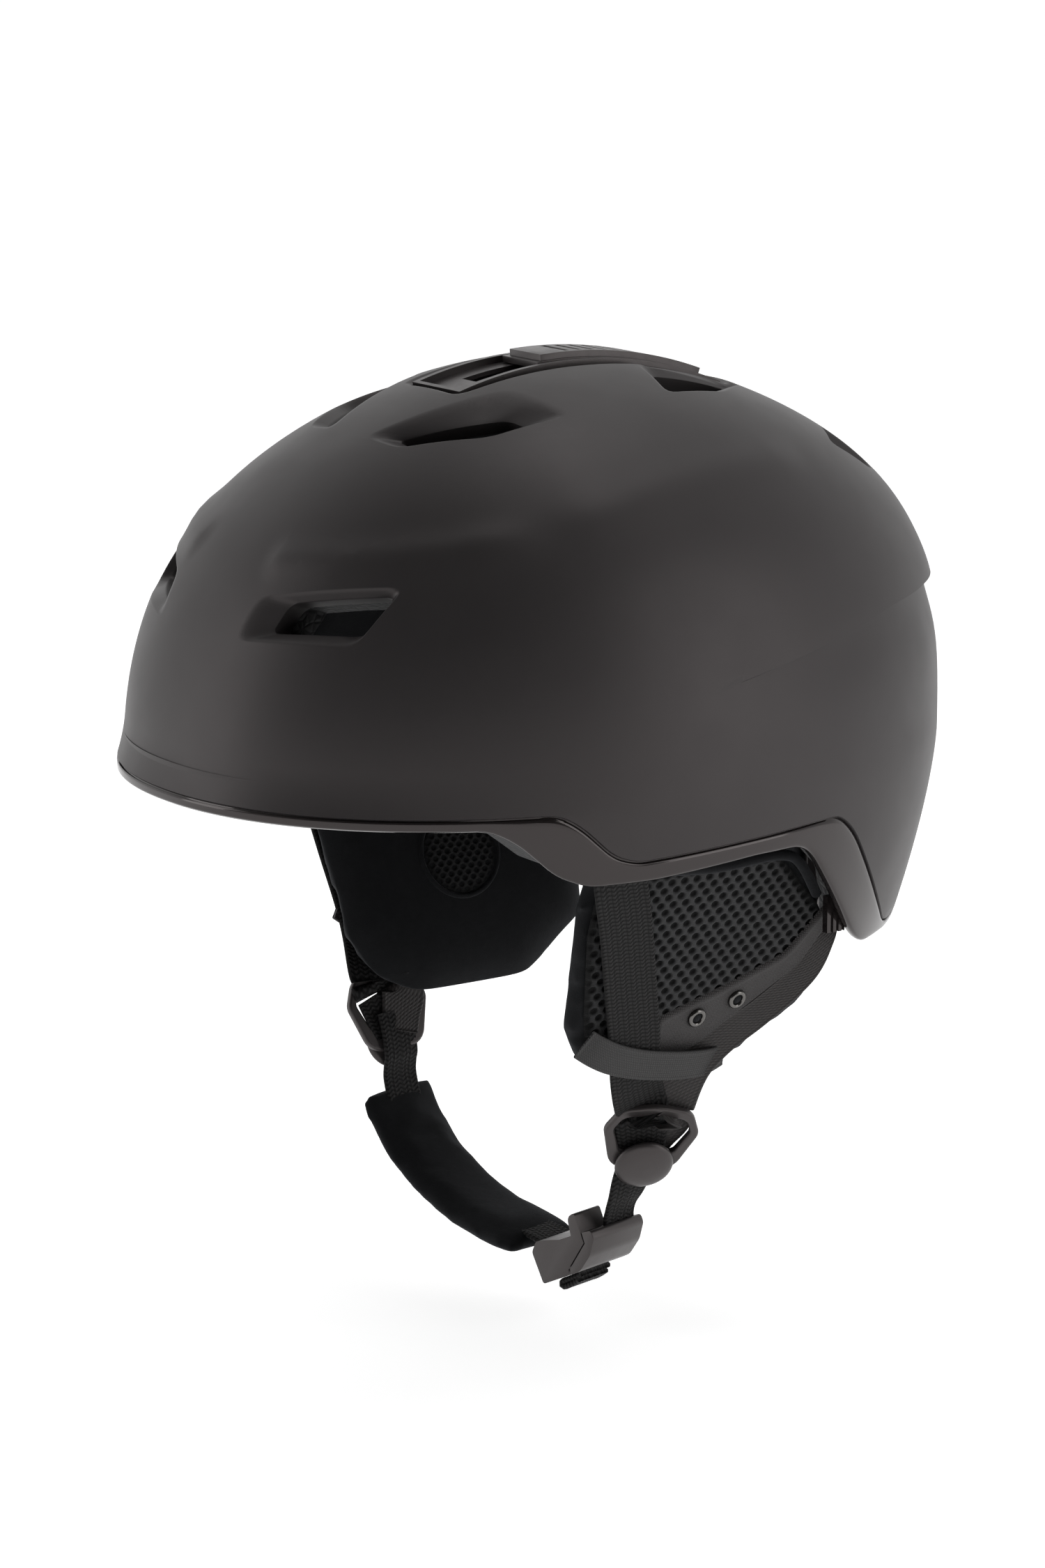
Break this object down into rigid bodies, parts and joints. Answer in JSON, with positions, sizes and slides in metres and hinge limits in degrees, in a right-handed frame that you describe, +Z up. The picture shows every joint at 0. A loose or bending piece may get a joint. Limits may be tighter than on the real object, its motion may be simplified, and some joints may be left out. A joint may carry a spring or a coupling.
{
  "type": "ski helmet",
  "caption": "Matte full-shell ski helmet with a gloss lower trim, sliding crown vent, dial fit, soft ear pads, strap dividers and a padded chin strap with a magnetic buckle.",
  "frame": {"origin": "middle of the head opening, level with the brow edge", "axes": "+Z up through the crown, -Y towards the brow, +X towards the wearer's left ear"},
  "size_m": [0.214, 0.281, 0.3058],
  "materials": {
    "shell_matte": "fine matte charcoal, injection moulded",
    "trim_gloss": "polished black",
    "foam": "moulded bead foam, black",
    "spacer_mesh": "knitted spacer mesh with round cells",
    "satin_plastic": "satin black moulding",
    "velvet": "brushed black fleece",
    "woven_nylon": "plain woven nylon",
    "webbing": "ribbed polyester webbing",
    "elastic": "knitted elastic tape",
    "black_metal": "black lacquered",
    "magnet_steel": "plated"
  },
  "bodies": {
    "helmet": {"outer_shell": "shell_matte", "lower_trim": "trim_gloss", "foam_liner": "foam", "vent_mesh": "spacer_mesh", "slider_track": "satin_plastic", "brow_pad": "velvet", "crown_pad": "velvet", "side_pad_left": "velvet", "side_pad_right": "velvet", "rear_pad": "velvet", "temple_anchors": "satin_plastic", "goggle_clip_base": "satin_plastic", "goggle_clip_snap": "black_metal", "ear_snaps": "black_metal", "strap_anchors": "satin_plastic", "strap_clips": "satin_plastic", "ear_tab_left": "velvet", "ear_tab_right": "velvet"},
    "vent_control": {"vent_slider": "satin_plastic", "vent_shutter": "satin_plastic"},
    "fit_cradle": {"occipital_cradle": "satin_plastic", "nape_pad": "velvet", "fit_band_left": "satin_plastic", "fit_band_right": "satin_plastic", "dial_housing": "satin_plastic"},
    "dial": {"fit_dial": "satin_plastic", "dial_pinion": "satin_plastic"},
    "goggle_clip": {"goggle_clip_strap": "woven_nylon"},
    "ear_left": {"ear_pad_left": "velvet", "ear_mesh_left": "spacer_mesh", "ear_window_left": "spacer_mesh", "ear_band_left": "woven_nylon", "ear_eyelets_left": "black_metal", "front_strap_left": "webbing", "rear_strap_left": "webbing", "strap_keeper_left": "elastic"},
    "ear_right": {"ear_pad_right": "velvet", "ear_mesh_right": "spacer_mesh", "ear_window_right": "spacer_mesh", "ear_band_right": "woven_nylon", "ear_eyelets_right": "black_metal", "front_strap_right": "webbing", "rear_strap_right": "webbing", "strap_keeper_right": "elastic"},
    "chin_left": {"divider_left": "satin_plastic", "divider_cap_left": "satin_plastic", "chin_strap_left": "webbing", "buckle_base": "satin_plastic"},
    "chin_right": {"divider_right": "satin_plastic", "divider_cap_right": "satin_plastic", "chin_strap_right": "webbing", "chin_pad": "velvet", "buckle_tongue": "satin_plastic", "buckle_magnets": "magnet_steel", "strap_tail": "webbing"}
  },
  "joints": [
    {"name": "vent_slide", "type": "hinge", "parent": "helmet", "child": "vent_control", "pos_m": [0, 0.0115, -0.026], "axis": [1, 0, 0], "range_deg": [0, 9]},
    {"name": "cradle_slide", "type": "slide", "parent": "helmet", "child": "fit_cradle", "axis": [0, -1, 0], "range_m": [0, 0.008]},
    {"name": "dial_turn", "type": "hinge", "parent": "fit_cradle", "child": "dial", "pos_m": [0, 0.106, -0.08], "axis": [0, 1, 0], "range_deg": [0, 300]},
    {"name": "goggle_clip_lift", "type": "hinge", "parent": "helmet", "child": "goggle_clip", "pos_m": [0, 0.1455, -0.0148], "axis": [1, 0, 0], "range_deg": [0, 70]},
    {"name": "ear_left_flex", "type": "hinge", "parent": "helmet", "child": "ear_left", "pos_m": [0.087, 0, -0.021], "axis": [0, -1, 0], "range_deg": [0, 5]},
    {"name": "ear_right_flex", "type": "hinge", "parent": "helmet", "child": "ear_right", "pos_m": [-0.087, 0, -0.021], "axis": [0, 1, 0], "range_deg": [0, 5]},
    {"name": "chin_left_swing", "type": "hinge", "parent": "ear_left", "child": "chin_left", "pos_m": [0.0618, 0.01074, -0.11095], "axis": [-0.3499, -0.9297, 0.1148], "range_deg": [0, 40]},
    {"name": "chin_right_swing", "type": "hinge", "parent": "ear_right", "child": "chin_right", "pos_m": [-0.06658, -0.01358, -0.0919], "axis": [-0.0349, 0.9994, 0], "range_deg": [0, 40]}
  ],
  "couplings": [
    {"joint": "cradle_slide", "follows": "dial_turn", "m_per_rad": 0.0015}
  ]
}
